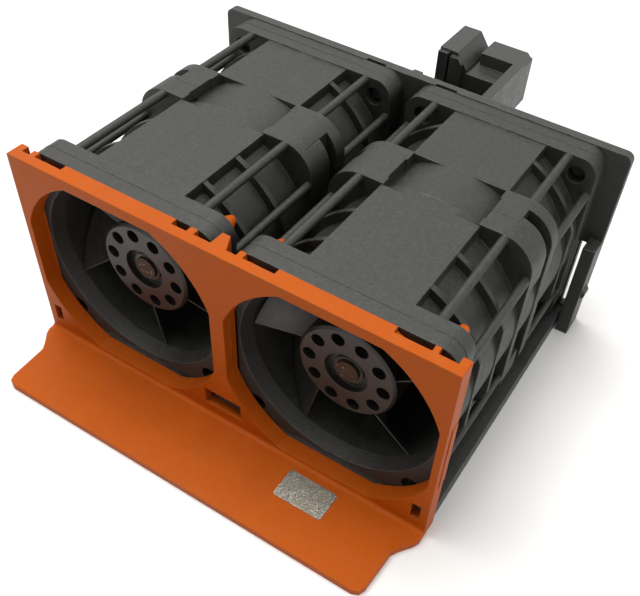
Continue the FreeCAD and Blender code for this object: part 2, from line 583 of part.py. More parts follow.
def bezel():
    wall = block("bezel_wall_plate", "-" + BEZEL_HALF, BEZEL_HALF, "0", "bezel_wall", "0", TOP)
    shrouds = [opening("shroud_" + label, side, "bezel_wall - 0.5", FAN_FRONT + " - 0.1", "shroud_wall")
               for side, label in FANS]
    seats = [s for s in corners(lambda n, x, z, sx, sz: rod("seat_" + n, PEG_R + " + 0.9", "bezel_wall - 0.5",
                                                            FAN_FRONT, x, z) if sz > 0 else None) if s]
    ledges = [block("ledge_%s" % label, "%d * %s / 2 - 0.28 * fan_size" % (side, PITCH),
                    "%d * %s / 2 + %s * fan_size" % (side, PITCH, end), "bezel_wall - 0.5", FAN_FRONT,
                    TOP + " - opening_top - 0.4", TOP) for (side, label), end in zip(FANS, (0.31, 0.24))]
    nibs = [block("nib_%s_%d" % (label, k), "%d * %s / 2 + %s * fan_size" % (side, PITCH, a),
                  "%d * %s / 2 + %s * fan_size" % (side, PITCH, b), "bezel_wall - 0.5", FAN_FRONT,
                  TOP + " - 1.6", TOP)
            for side, label in FANS
            for k, (a, b) in enumerate(((-0.46, -0.43), (0.385 if side < 0 else 0.395, 0.42)))]
    sides = [block("side_%d" % k, lo, hi, "bezel_wall - 0.5", "side_depth", "0", TOP)
             for k, (lo, hi) in enumerate((("-" + BEZEL_HALF, "-(%s - side_wall)" % BEZEL_HALF),
                                           (BEZEL_HALF + " - side_wall", BEZEL_HALF)))]
    divider = prism("divider", [(-D["fan_gap"] / 2 + 0.15, D["bezel_wall"] - 0.3),
                                (D["fan_gap"] / 2 - 0.15, D["bezel_wall"] - 0.3),
                                (0.1, D["divider_depth"]), (-D["fan_gap"] / 2 + 0.3, D["divider_depth"])],
                    D["slot_high"] + 0.4, D["fan_floor"] + D["fan_size"])
    body = fuse("bezel_solid", [wall, lip(), lip_fillet()] + shrouds + seats + ledges + nibs + sides)
    tools = [opening("opening_" + label, side, "-1", FAN_FRONT + " + 0.01") for side, label in FANS]
    tools.append(block("slot_middle", "-slot_half", "slot_half", "-1", FAN_FRONT, "slot_low", "slot_high"))
    for k, sign in enumerate((-1, 1)):
        low, high = "(%s - slot_side)" % BEZEL_HALF, "(%s - side_wall)" % BEZEL_HALF
        if sign < 0:
            low, high = "-" + high, "-" + low
        tools.append(block("slot_side_%d" % k, low, high, "-1", "side_depth + 1", "slot_low", "slot_high"))
    shell = cut("bezel_shell", body, tools)

    def peg(n, x, z, sx, sz):
        behind = FAN_FRONT + " + flange_depth"
        stem = rod("peg_" + n, PEG_R, "bezel_wall - 0.5", behind + " + 0.05", x, z)
        hook = taper("peg_hook_" + n, PEG_R + " + 0.65", PEG_R + " * 0.5", behind + " + 0.05",
                     behind + " + hook_reach", x + " + %d * 0.4" % sx, z)
        return fuse("peg_all_" + n, [stem, hook])
    pegs = [p for p in corners(lambda n, x, z, sx, sz: peg(n, x, z, sx, sz) if sz > 0 else None) if p]
    return fuse("bezel", [shell, divider] + pegs)


# ------------------------------------------------------------------- carrier
def carrier():
    """Rear plate with posts and pegs, and three rails that hook into the bezel."""
    top = TOP + " + plate_over"
    inner = "(%s - plate_round)" % PLATE_HALF
    plate = fuse("plate", [block("plate_low", "-" + PLATE_HALF, PLATE_HALF, FAN_REAR, PLATE_BACK, "0",
                                 top + " - plate_round"),
                           block("plate_high", "-" + inner, inner, FAN_REAR, PLATE_BACK, "0", top)] +
                 [rod("plate_corner_%d" % k, "plate_round", FAN_REAR, PLATE_BACK, "%d * %s" % (sign, inner),
                      top + " - plate_round") for k, sign in enumerate((-1, 1))])
    parts = []
    for k, sign in enumerate((-1, 1)):
        low, high = "(%s + 0.05)" % BEZEL_HALF, PLATE_HALF
        rail_low = "(%s - side_wall - rail_outer + 1.2)" % BEZEL_HALF
        rail_high = "(%s - side_wall + 1.2)" % BEZEL_HALF
        nose_high = "(%s - side_wall - 0.2)" % BEZEL_HALF
        if sign < 0:
            low, high = "-" + high, "-" + low
            rail_low, rail_high, nose_low, nose_high = "-" + rail_high, "-" + rail_low, "-" + nose_high, \
                "-" + rail_low
        else:
            nose_low = rail_low
        parts.append(block("post_%d" % k, low, high, FAN_REAR + " - post_depth", FAN_REAR + " + 0.5",
                           "0", "post_height"))
        parts.append(block("rail_%d" % k, rail_low, rail_high, "side_depth + 0.2", FAN_REAR + " + 0.5",
                           "0", "fan_floor"))
        parts.append(block("rail_nose_%d" % k, nose_low, nose_high, "bezel_wall + 0.1", "side_depth + 1",
                           "0", "fan_floor"))
        parts.append(block("rail_tab_%d" % k, nose_low, nose_high, "bezel_wall + 0.1", FAN_FRONT + " - 0.1",
                           "1", "slot_high - 0.3"))
        parts.append(block("rail_hook_%d" % k, nose_low, nose_high, "bezel_wall - 0.4", "bezel_wall + 0.5",
                           "slot_low + 0.2", "slot_high - 0.3"))
        bump = rod("bump_%d" % k, "1.1", FAN_REAR + " - 3", FAN_REAR + " - 0.6",
                   "%d * (%s - 0.35)" % (sign, PLATE_HALF), "post_height * 0.48")
        parts.append(bump)
    parts.append(block("rail_mid", "-rail_middle", "rail_middle", "bezel_wall + 0.1", FAN_REAR + " + 0.5",
                       "0", "fan_floor"))
    parts.append(block("rail_mid_tab", "-rail_middle", "rail_middle", "bezel_wall + 0.1",
                       FAN_FRONT + " - 0.1", "1", "slot_high - 0.3"))
    parts.append(block("rail_mid_hook", "-rail_middle", "rail_middle", "bezel_wall - 0.4", "bezel_wall + 0.5",
                       "slot_low + 0.2", "slot_high - 0.3"))
    windows = []
    for side, label in FANS:
        centre = "%d * %s / 2" % (side, PITCH)
        windows.append(rod("window_" + label, BORE + " + 0.2", FAN_REAR + " - 0.01", PLATE_BACK + " + 1",
                           centre, AXIS_Z))
        low, high = "(fan_size + fan_gap / 2 + 0.25)", "(%s)" % BEZEL_HALF
        if side < 0:
            low, high = "-" + high, "-" + low
        windows.append(block("side_slot_" + label, low, high, FAN_REAR + " - 0.01", PLATE_BACK + " + 1",
                             "fan_floor + 0.5", "post_height - 1.4"))
    for k, (a, b) in enumerate(((-10.7, -6.4), (5.2, 9.8))):
        windows.append(block("notch_%d" % k, str(a), str(b), FAN_REAR + " - 1", FAN_REAR + " + 0.7",
                             top + " - 3", top + " + 1"))
    frame = cut("plate_cut", plate, windows)
    pad = block("plug_pad", "plug_left - 1", "plug_left + plug_width + 1", FAN_REAR + " + 0.75", PLATE_BACK,
                top + " - plug_height - 0.6", top)
    pegs = corners(lambda n, x, z, sx, sz: rod("rear_peg_" + n, PEG_R, FAN_REAR + " - 3.4",
                                               FAN_REAR + " + 0.5", x, z))
    return fuse("carrier", [frame, pad] + parts + pegs)


# ----------------------------------------------------------------- connector
PLUG_TOP = "(%s + plate_over - 0.2)" % TOP
PLUG_FLOOR = "(%s + plate_over - 0.2 - plug_height)" % TOP
PLUG_RIGHT = "(plug_left + plug_width)"
PLUG_BACK = "(%s + plug_reach)" % PLATE_BACK
TRAY_BACK = "(%s + tray_reach)" % PLATE_BACK


def connector():
    """Open wire tray on the rear plate that ends in the blind-mate connector."""
    latch = "(plug_left + latch_block)"
    inner = "(%s - plug_wall)" % PLUG_RIGHT
    outer = block("plug_outer", "plug_left", PLUG_RIGHT, PLATE_BACK, PLUG_BACK, PLUG_FLOOR, PLUG_TOP)
    tray = block("plug_tray", "plug_left + plug_wall", inner, PLATE_BACK + " - 1", TRAY_BACK,
                 PLUG_FLOOR + " + plug_wall", PLUG_TOP + " + 1")
    low_side = block("plug_low_side", "plug_left - 1", "plug_left + plug_wall + 0.1", PLATE_BACK + " + 1",
                     TRAY_BACK, PLUG_FLOOR + " + 4", PLUG_TOP + " + 1")
    trough = block("plug_trough", latch, inner, TRAY_BACK + " - 0.1", "%s + trough_reach" % PLATE_BACK,
                   PLUG_FLOOR + " + mouth_height + 2.6", PLUG_TOP + " + 1")
    shoulder = block("plug_shoulder", latch, PLUG_RIGHT + " + 1", "%s + trough_reach - 0.1" % PLATE_BACK,
                     PLUG_BACK + " + 1", PLUG_TOP + " - 1.2", PLUG_TOP + " + 1")
    split = block("plug_split", latch, latch + " + 0.8", "%s + trough_reach - 0.1" % PLATE_BACK,
                  PLUG_BACK + " + 1", PLUG_FLOOR + " + mouth_height + 2.6", PLUG_TOP + " + 1")
    side_top = block("plug_side_top", inner + " - 1", PLUG_RIGHT + " + 1", PLATE_BACK + " - 1",
                     "%s + trough_reach" % PLATE_BACK, PLUG_TOP + " - 0.4", PLUG_TOP + " + 1")
    mouth = block("plug_mouth", "plug_left + 1.6", PLUG_RIGHT + " - 1.6", PLUG_BACK + " - mouth_depth",
                  PLUG_BACK + " + 1", PLUG_FLOOR + " + 1.6", PLUG_FLOOR + " + 1.6 + mouth_height")
    right = D["plug_left"] + D["plug_width"]
    corner = prism("plug_corner", [(right + 1, back_of_plug() + 1), (right + 1, back_of_plug() - 2.6),
                                   (right - 0.8, back_of_plug() - 1.2), (right - 2.8, back_of_plug() + 1)],
                   0, 2 * D["fan_size"])
    edge, top = D["plug_left"] + D["latch_block"], D["fan_floor"] + D["fan_size"] + D["plate_over"] - 0.2
    start = back_of_plug() - D["plug_reach"] + D["tray_reach"]
    wedge = [(edge - 2.6, top + 0.01), (edge + 0.01, top - 3.4), (edge + 0.01, top + 0.01)]
    slope = Part.Face(Part.makePolygon([V(x, start - 1.5, z) for x, z in wedge + wedge[:1]]))
    slant = fixed("plug_slant", slope.extrude(V(0, D["plug_reach"], 0)))
    fins = [block("plug_fin_%d" % k, "plug_left + %s" % a, "plug_left + %s" % b, TRAY_BACK + " - 1",
                  TRAY_BACK + " + 0.5", PLUG_FLOOR + " + plug_wall - 0.5", PLUG_TOP + " - %s" % drop)
            for k, (a, b, drop) in enumerate(((0.0, 2.2, 0.5), (2.9, 5.6, 0.9)))]
    body = cut("plug_cut", outer, [tray, low_side, trough, shoulder, split, side_top, mouth, corner])
    return cut("plug", fuse("plug_body", [body] + fins), [slant])


def back_of_plug():
    return (D["bezel_wall"] + D["seat_depth"] + D["front_length"] + D["rear_length"] + D["plate_thick"]
            + D["plug_reach"])


def contacts():
    """Two rows of flat contact blades standing in the connector mouth."""
    blades = []
    for row in range(2):
        for k in range(CONTACTS):
            x = "(plug_left + plug_width * (%d + 1.5) / (%d + 2))" % (k, CONTACTS)
            z = "(%s + 2.5 + %d * 2.0)" % (PLUG_FLOOR, row)
            blades.append(block("contact_%d_%d" % (row, k), x + " - 0.8", x + " + 0.8",
                                PLUG_BACK + " - mouth_depth", PLUG_BACK + " - mouth_depth + 3.4",
                                z, z + " + 0.6"))
    obj = doc.addObject("Part::Compound", "contacts")
    obj.Links = blades
    return obj


def label():
    """Blank adhesive label on the right half of the lip."""
    middle = D["fan_size"] / 2 + D["fan_gap"] / 2 + 0.2
    half, near, far, cut_off = D["label_long"] / 2, -2.2, -2.2 - D["label_short"], 0.4
    right = [(half, near - cut_off), (half, far + cut_off), (half - cut_off, far)]
    left = [(-half + cut_off, far), (-half, far + cut_off), (-half, near - cut_off), (-half + cut_off, near)]
    outline = [(middle + x, y) for x, y in right + left + [(half - cut_off, near)]]
    return prism("label_sheet", outline, D["lip_thick"], D["lip_thick"] + D["label_thick"])


# -------------------------------------------------------------------- nodes
HALF_TURN_Y = FreeCAD.Rotation(V(0, 1, 0), 180)
HALF_TURN_Z = FreeCAD.Rotation(V(0, 0, 1), 180)
PHASE = {("left", "front"): 138.5, ("right", "front"): 177.3, ("left", "rear"): 20.0, ("right", "rear"): 65.0}

node("front_bezel", bezel())
node("rear_carrier", carrier())
node("connector_housing", connector())
node("connector_contacts", contacts())
node("lip_label", label())

frames = {"front": fan_frame("ff", "front_length", True), "rear": fan_frame("rf", "rear_length", False)}
inner_parts = {"yoke": yoke(), "magnet": magnet(), "shaft": shaft(), "bearings": bearings(),
               "bearing_tube": tube(), "stator_core": stator_core(), "windings": windings(), "motor_board": board()}
for side, hand_name in FANS:
    centre = "%d * %s / 2" % (side, PITCH)
    for stage in ("front", "rear"):
        base_y = FAN_FRONT if stage == "front" else FAN_REAR
        turn = FreeCAD.Rotation() if stage == "front" else HALF_TURN_Z
        frame_turn = turn if side < 0 else HALF_TURN_Y.multiply(turn)
        where = dict(x=centre, y=base_y, z=AXIS_Z)
        suffix = "_%s_%s" % (hand_name, stage)
        node("frame" + suffix, frames[stage], turn=frame_turn, **where)
        blades, hand = (BLADES_FRONT, 1) if stage == "front" else (BLADES_REAR, -1)
        made = rotor("rotor" + suffix, blades, hand, PHASE[hand_name, stage])
        node("rotor" + suffix, made, turn=turn, **where)
        for part_name, shape in inner_parts.items():
            node(part_name + suffix, shape, turn=turn, **where)
doc.recompute()

# ------------------------------------------------------------ check and write
for obj in doc.Objects:
    if "Invalid" in obj.State or "Error" in obj.State:
        raise RuntimeError("object %s is in state %s" % (obj.Name, obj.State))
os.makedirs("parts", exist_ok=True)
for obj in nodes:
    shape = obj.Shape
    if not shape.isValid() or not shape.Solids:
        raise RuntimeError("sub-part %s has no valid solid" % obj.Label)
    shape.exportStep("parts/%s.step" % obj.Label)
    print("%-28s solids %d volume %.1f" % (obj.Label, len(shape.Solids), shape.Volume))
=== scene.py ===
import math

import bmesh
import bpy
from mathutils import Matrix, Vector


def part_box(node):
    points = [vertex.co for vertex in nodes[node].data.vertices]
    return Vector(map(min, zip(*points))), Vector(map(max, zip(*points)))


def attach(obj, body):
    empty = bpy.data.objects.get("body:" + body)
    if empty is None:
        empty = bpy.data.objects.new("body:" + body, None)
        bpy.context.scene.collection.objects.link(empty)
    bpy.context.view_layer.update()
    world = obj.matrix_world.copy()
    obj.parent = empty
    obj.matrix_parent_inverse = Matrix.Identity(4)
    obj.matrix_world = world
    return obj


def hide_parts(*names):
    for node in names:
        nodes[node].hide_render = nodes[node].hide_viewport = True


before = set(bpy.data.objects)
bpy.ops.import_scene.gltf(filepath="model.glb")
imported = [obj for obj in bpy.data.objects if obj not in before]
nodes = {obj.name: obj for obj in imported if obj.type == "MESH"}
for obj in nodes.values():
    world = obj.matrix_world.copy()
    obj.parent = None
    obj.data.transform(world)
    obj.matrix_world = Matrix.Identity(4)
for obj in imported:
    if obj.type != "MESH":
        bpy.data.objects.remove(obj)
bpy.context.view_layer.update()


# ---------------------------------------------------------------- front bezel
# One orange moulding in glass-filled nylon: face, pull lip, side walls and pegs.
# It is pressed over the fan flanges, and its spark-eroded skin is polished by
# fingers along the lip and rubbed pale on its edges, paler partly as a painted highlight.
def shader_group(name, inputs, outputs):
    """An empty shader group with named sockets, and its two end nodes."""
    tree = bpy.data.node_groups.new(name, "ShaderNodeTree")
    for label, value in inputs:
        socket = tree.interface.new_socket(label, in_out="INPUT", socket_type="NodeSocketFloat")
        socket.default_value = value
    for label, kind in outputs:
        tree.interface.new_socket(label, in_out="OUTPUT", socket_type=kind)
    return tree, tree.nodes.new("NodeGroupInput"), tree.nodes.new("NodeGroupOutput")


def put(tree, kind, links=(), **values):
    """A node with its properties, its plain inputs and the sockets that feed it."""
    node = tree.nodes.new(kind)
    for key, value in values.items():
        if hasattr(node, key):
            setattr(node, key, value)
        else:
            node.inputs[key.replace("_", " ")].default_value = value
    for target, source in dict(links).items():
        tree.links.new(source, node.inputs[target])
    return node


def reckon(tree, operation, first, second, clamp=False):
    """The output of one Math node over two sockets or numbers."""
    node = tree.nodes.new("ShaderNodeMath")
    node.operation = operation
    node.use_clamp = clamp
    for k, value in enumerate((first, second)):
        if isinstance(value, (int, float)):
            node.inputs[k].default_value = value
        else:
            tree.links.new(value, node.inputs[k])
    return node.outputs[0]


def blend_colour(tree, factor, first, second):
    """The output of one colour Mix node over sockets or plain colours."""
    node = tree.nodes.new("ShaderNodeMix")
    node.data_type = "RGBA"
    factor_in, first_in, second_in = node.inputs[0], node.inputs[6], node.inputs[7]
    for socket, value in ((factor_in, factor), (first_in, first), (second_in, second)):
        if isinstance(value, tuple):
            socket.default_value = value
        else:
            tree.links.new(value, socket)
    return node.outputs[2]


def stretch(tree, source, low, high, to_low=0.0, to_high=1.0):
    """The output of one Map Range node, clamped at both ends."""
    node = tree.nodes.new("ShaderNodeMapRange")
    for k, value in enumerate((low, high, to_low, to_high), 1):
        node.inputs[k].default_value = value
    tree.links.new(source, node.inputs[0])
    return node.outputs[0]


def own_place(tree):
    """Where a point lies in its piece's own coordinates, in metres."""
    return put(tree, "ShaderNodeTexCoord").outputs["Object"]


def emboss(tree, shader, links, strength, depth, **values):
    """Feeds a height to the shader's normal through one Bump node."""
    bump = put(tree, "ShaderNodeBump", links, Strength=strength, Distance=depth, **values)
    tree.links.new(bump.outputs[0], shader.inputs["Normal"])


def mould_skin_group():
    """Spark-eroded mould skin: fine pits, slow flow mottling and a sink here and there."""
    sink_share = 1.6
    tree, start, end = shader_group(
        "mould skin",
        [("Pits per metre", 4200.0), ("Flow per metre", 160.0)],
        [("Height", "NodeSocketFloat"), ("Mottle", "NodeSocketFloat"), ("Speck", "NodeSocketFloat")])
    place = own_place(tree)
    pits = put(tree, "ShaderNodeTexNoise", {"Vector": place, "Scale": start.outputs["Pits per metre"]},
               Detail=3.0, Roughness=0.62)
    flow = put(tree, "ShaderNodeTexNoise", {"Vector": place, "Scale": start.outputs["Flow per metre"]},
               Detail=5.0, Roughness=0.6, Distortion=1.2)
    speck = put(tree, "ShaderNodeTexVoronoi", {"Vector": place}, Scale=1500.0)
    sunk = put(tree, "ShaderNodeTexNoise", {"Vector": place}, Scale=60.0, Detail=1.0)
    sinks = reckon(tree, "MULTIPLY", sunk.outputs[0], sink_share)
    tree.links.new(reckon(tree, "ADD", pits.outputs[0], sinks), end.inputs["Height"])
    tree.links.new(stretch(tree, flow.outputs[0], low=0.3, high=0.7), end.inputs["Mottle"])
    tree.links.new(stretch(tree, speck.outputs["Distance"], low=0.16, high=0.08), end.inputs["Speck"])
    return tree


def edge_wear_and_highlight_group():
    """Where an edge is rounded by the mould or rubbed by hands, painted pale partly as wear and partly
    as a painted highlight, and the rounded normal.
    """
    tree, start, end = shader_group(
        "edge wear",
        [("Radius", 0.0003), ("Patches per metre", 260.0)],
        [("Wear", "NodeSocketFloat"), ("Normal", "NodeSocketVector")])
    rounded = put(tree, "ShaderNodeBevel", {"Radius": start.outputs["Radius"]}, samples=4)
    flat = put(tree, "ShaderNodeNewGeometry")
    dot = put(tree, "ShaderNodeVectorMath", {0: rounded.outputs[0], 1: flat.outputs["Normal"]},
              operation="DOT_PRODUCT")
    patch = put(tree, "ShaderNodeTexNoise",
                {"Vector": own_place(tree), "Scale": start.outputs["Patches per metre"]},
                Detail=4.0, Roughness=0.7)
    # Edges are painted pale, partly as rubbing wear and partly as a painted highlight.
    edge = stretch(tree, dot.outputs["Value"], low=0.99, high=0.86)
    rubbed_and_highlight = stretch(tree, patch.outputs[0], low=0.36, high=0.62)
    tree.links.new(reckon(tree, "MULTIPLY", edge, rubbed_and_highlight), end.inputs["Wear"])
    tree.links.new(rounded.outputs[0], end.inputs["Normal"])
    return tree


def settled_dust_group():
    """Dust that an air mover gathers on faces that look up, thicker in patches."""
    tree, start, end = shader_group(
        "settled dust",
        [("Patches per metre", 220.0)],
        [("Dust", "NodeSocketFloat")])
    up = put(tree, "ShaderNodeSeparateXYZ", {0: put(tree, "ShaderNodeNewGeometry").outputs["Normal"]})
    place = own_place(tree)
    cloud = put(tree, "ShaderNodeTexNoise",
                {"Vector": place, "Scale": start.outputs["Patches per metre"]},
                Detail=6.0, Roughness=0.68)
    grit = put(tree, "ShaderNodeTexNoise", {"Vector": place}, Scale=5200.0, Detail=2.0)
    level = stretch(tree, up.outputs["Z"], low=0.1, high=0.95)
    thick = stretch(tree, cloud.outputs[0], low=0.42, high=0.72)
    grainy = stretch(tree, grit.outputs[0], low=0.42, high=0.6)
    fall = reckon(tree, "MULTIPLY", level, thick)
    tree.links.new(reckon(tree, "MULTIPLY", fall, grainy), end.inputs["Dust"])
    return tree


mould_skin = mould_skin_group()
edge_wear_and_highlight = edge_wear_and_highlight_group()
settled_dust = settled_dust_group()


def new_finish(name, roughness, metallic=0.0, **settings):
    """A material with one Principled shader; its plain numbers stay on the shader."""
    made = bpy.data.materials.new(name)
    made.use_nodes = True
    shader = made.node_tree.nodes["Principled BSDF"]
    shader.inputs["Roughness"].default_value = roughness
    shader.inputs["Metallic"].default_value = metallic
    for key, value in settings.items():
        shader.inputs[key.replace("_", " ")].default_value = value
    return made, made.node_tree, shader


DUST_GREY = (0.42, 0.40, 0.36, 1)
DUST_FINENESS = 4.0  # dust patches for each flow mark
MOTTLE_GLOSS = 0.14  # how far the flow marks swing the roughness
RUB_POLISH = 0.25  # how much rubbing smooths the skin
DUST_DULL = 0.5  # how much dust roughens it


def moulded_plastic(name, main, deep, rubbed_and_highlight, roughness, *, pits, pit_depth, flow, edge,
                    wear_share, dust_share, speck_share=0.1, **settings):
    """Injection-moulded plastic: mottled colour, pitted skin, pale edges that are partly rubbing wear
    and partly a painted highlight, and dust.

    Pits and flow marks are counted per metre. The pit depth and the edge radius are in metres.
    """
    made, tree, shader = new_finish(name, roughness, **settings)
    grain = put(tree, "ShaderNodeGroup", node_tree=mould_skin, Pits_per_metre=pits, Flow_per_metre=flow)
    edges = put(tree, "ShaderNodeGroup", node_tree=edge_wear_and_highlight, Radius=edge)
    film = put(tree, "ShaderNodeGroup", node_tree=settled_dust, Patches_per_metre=flow * DUST_FINENESS)
    speck = reckon(tree, "MULTIPLY", grain.outputs["Speck"], speck_share)
    rubbing_and_highlight = reckon(tree, "MULTIPLY", edges.outputs["Wear"], wear_share)
    settled = reckon(tree, "MULTIPLY", film.outputs["Dust"], dust_share)
    body = blend_colour(tree, grain.outputs["Mottle"], deep, main)
    # The pale edge colour is partly rubbing wear and partly a painted highlight; the specks share it.
    for share, colour in ((speck, rubbed_and_highlight), (rubbing_and_highlight, rubbed_and_highlight), (settled, DUST_GREY)):
        body = blend_colour(tree, share, body, colour)
    tree.links.new(body, shader.inputs["Base Color"])
    swing = reckon(tree, "MULTIPLY", grain.outputs["Mottle"], MOTTLE_GLOSS)
    rough = reckon(tree, "ADD", roughness - MOTTLE_GLOSS / 2, swing)
    rough = reckon(tree, "SUBTRACT", rough, reckon(tree, "MULTIPLY", rubbing_and_highlight, RUB_POLISH))
    rough = reckon(tree, "ADD", rough, reckon(tree, "MULTIPLY", settled, DUST_DULL), clamp=True)
    tree.links.new(rough, shader.inputs["Roughness"])
    relief = {"Height": grain.outputs["Height"], "Normal": edges.outputs["Normal"]}
    emboss(tree, shader, relief, strength=1.0, depth=pit_depth)
    return made


def finish_node(node, material):
    """Puts one material on a carried-over CAD node."""
    slots = nodes[node].data.materials
    for k in range(len(slots)):
        slots[k] = material
    if not slots:
        slots.append(material)


bezel_nylon = moulded_plastic(
    "bezel nylon", main=(0.400, 0.071, 0.0025, 1), deep=(0.360, 0.061, 0.0020, 1),
    rubbed_and_highlight=(0.52, 0.16, 0.035, 1), roughness=0.5, pits=3600.0, pit_depth=0.00005, flow=90.0,
    edge=0.00035, wear_share=0.45, dust_share=0.04, speck_share=0.08,
    Specular_IOR_Level=0.22, Specular_Tint=(1.0, 0.70, 0.38, 1))
finish_node("front_bezel", bezel_nylon)


# ---------------------------------------------------------------- lip label
# A bare metallised polyester label, stuck flat on the pull lip. Its foil has a
# fine crumbled sparkle and has gone dull in patches.
def label_foil():
    """Crumbled foil that sparkles, dulled in patches."""
    dark_grain = (0.22, 0.205, 0.175, 1)
    bright_grain = (0.50, 0.475, 0.42, 1)
    dull_patch = (0.21, 0.185, 0.145, 1)
    made, tree, shader = new_finish("label foil", roughness=0.38, metallic=0.85)
    place = own_place(tree)
    crumbs = put(tree, "ShaderNodeTexVoronoi", {"Vector": place}, Scale=3400.0)
    cloud = put(tree, "ShaderNodeTexNoise", {"Vector": place}, Scale=420.0, Detail=5.0, Roughness=0.7)
    sparkle = stretch(tree, crumbs.outputs["Color"], low=0.2, high=0.8)
    worn = stretch(tree, cloud.outputs[0], low=0.45, high=0.62)
    glitter = blend_colour(tree, sparkle, dark_grain, bright_grain)
    tree.links.new(blend_colour(tree, worn, glitter, dull_patch), shader.inputs["Base Color"])
    gloss = stretch(tree, cloud.outputs[0], low=0.3, high=0.7, to_low=0.25, to_high=0.55)
    tree.links.new(gloss, shader.inputs["Roughness"])
    emboss(tree, shader, {"Height": crumbs.outputs["Distance"]}, strength=1.0, depth=0.00003)
    return made


finish_node("lip_label", label_foil())


# ---------------------------------------------------------------- fan frames
# Glass-filled black polyester, moulded in two lengths that latch at mid body.
# The skin is satin, with pale flow marks near the gates and dust on its top. A
# fine moulding seam runs round each end flange.
FAN_HALVES = ["left_front", "left_rear", "right_front", "right_rear"]

# Its pale edges are partly rubbing wear and partly a painted highlight.
fan_plastic = moulded_plastic(
    "fan frame polyester", main=(0.0158, 0.0159, 0.0134, 1), deep=(0.0112, 0.0114, 0.0100, 1),
    rubbed_and_highlight=(0.12, 0.12, 0.102, 1), roughness=0.52, pits=3200.0, pit_depth=0.00008, flow=300.0,
    edge=0.00032, wear_share=0.6, dust_share=0.09, Specular_IOR_Level=0.42)
for half in FAN_HALVES:
    finish_node("frame_" + half, fan_plastic)


def pattern_tree(name, **inputs):
    """An empty Geometry Nodes tree with named inputs, and its two ends."""
    tree = bpy.data.node_groups.new(name, "GeometryNodeTree")
    tree.interface.new_socket("Geometry", in_out="INPUT", socket_type="NodeSocketGeometry")
    for key, kind in inputs.items():
        label = key.replace("_", " ")
        tree.interface.new_socket(label, in_out="INPUT", socket_type="NodeSocket" + kind)
    tree.interface.new_socket("Geometry", in_out="OUTPUT", socket_type="NodeSocketGeometry")
    return tree, tree.nodes.new("NodeGroupInput").outputs, tree.nodes.new("NodeGroupOutput")


def close_tree(tree, end, shape, material):
    """Ends a tree in Realize Instances and Set Material."""
    solid = put(tree, "GeometryNodeRealizeInstances", {0: shape})
    dressed = put(tree, "GeometryNodeSetMaterial", {"Geometry": solid.outputs[0], "Material": material})
    tree.links.new(dressed.outputs[0], end.inputs[0])


def stand(name, data):
    """A new object in the scene."""
    made = bpy.data.objects.new(name, data)
    bpy.context.scene.collection.objects.link(made)
    return made


def grow(tree, name, **sizes):
    """Runs a tree once with the given sizes and keeps its result as a plain mesh."""
    seed = stand(name + "_seed", bpy.data.meshes.new(name + "_seed"))
    modifier = seed.modifiers.new("pattern", "NODES")
    modifier.node_group = tree
    for item in tree.interface.items_tree:
        key = item.name.replace(" ", "_").lower()
        if item.in_out == "INPUT" and key in sizes:
            modifier[item.identifier] = sizes[key]
    shown = seed.evaluated_get(bpy.context.evaluated_depsgraph_get())
    mesh = bpy.data.meshes.new_from_object(shown)
    seed.modifiers.remove(modifier)
    bpy.data.objects.remove(seed)
    mesh.name = name
    mesh.materials.clear()
    mesh.materials.append(sizes["finish"])
    mesh.polygons.foreach_set("material_index", [0] * len(mesh.polygons))
    return stand(name, mesh)


def seam_tree():
    """A fine bead that follows the rounded square outline of a flange."""
    tree, start, end = pattern_tree(
        "flange seam", Side="Float", Corner="Float", Bead="Float", Centre="Vector", Finish="Material")
    square = put(tree, "GeometryNodeCurvePrimitiveQuadrilateral",
                 {"Width": start["Side"], "Height": start["Side"]})
    path = put(tree, "GeometryNodeFilletCurve", {"Curve": square.outputs[0], "Radius": start["Corner"]},
               mode="POLY", Count=10)
    bead = put(tree, "GeometryNodeCurvePrimitiveCircle", {"Radius": start["Bead"]}, Resolution=8)
    swept = put(tree, "GeometryNodeCurveToMesh",
                {"Curve": path.outputs[0], "Profile Curve": bead.outputs[0]})
    upright = put(tree, "GeometryNodeTransform",
                  {"Geometry": swept.outputs[0], "Translation": start["Centre"]},
                  Rotation=(math.pi / 2, 0.0, 0.0))
    close_tree(tree, end, upright.outputs[0], start["Finish"])
    return tree


FLANGE_THICK = 0.0053  # along the fan axis
FLANGE_SIDE = 0.04
FLANGE_CORNER = 0.0036
SEAM_BEAD = 0.00007
flange_seam = seam_tree()


def axis_point(low, high, along):
    """The point on the axis of a box's fan at one place along it."""
    return (low[0] + high[0]) / 2, along, (low[2] + high[2]) / 2


for half in FAN_HALVES:
    low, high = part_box("frame_" + half)
    if half.endswith("front"):
        seat = low[1] + FLANGE_THICK / 2
    else:
        seat = high[1] - FLANGE_THICK / 2
    seam = grow(flange_seam, "flange_seam_" + half, side=FLANGE_SIDE, corner=FLANGE_CORNER,
                bead=SEAM_BEAD, centre=axis_point(low, high, seat), finish=fan_plastic)
    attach(seam, "module")


# ---------------------------------------------------------------- motor fixings
# A turned brass tube is pressed in each frame's cup. The ball bearings sit in
# it, and the ground steel shaft runs in them.
RING_DEPTH = 0.00001  # depth of the rings that the cutting tool leaves


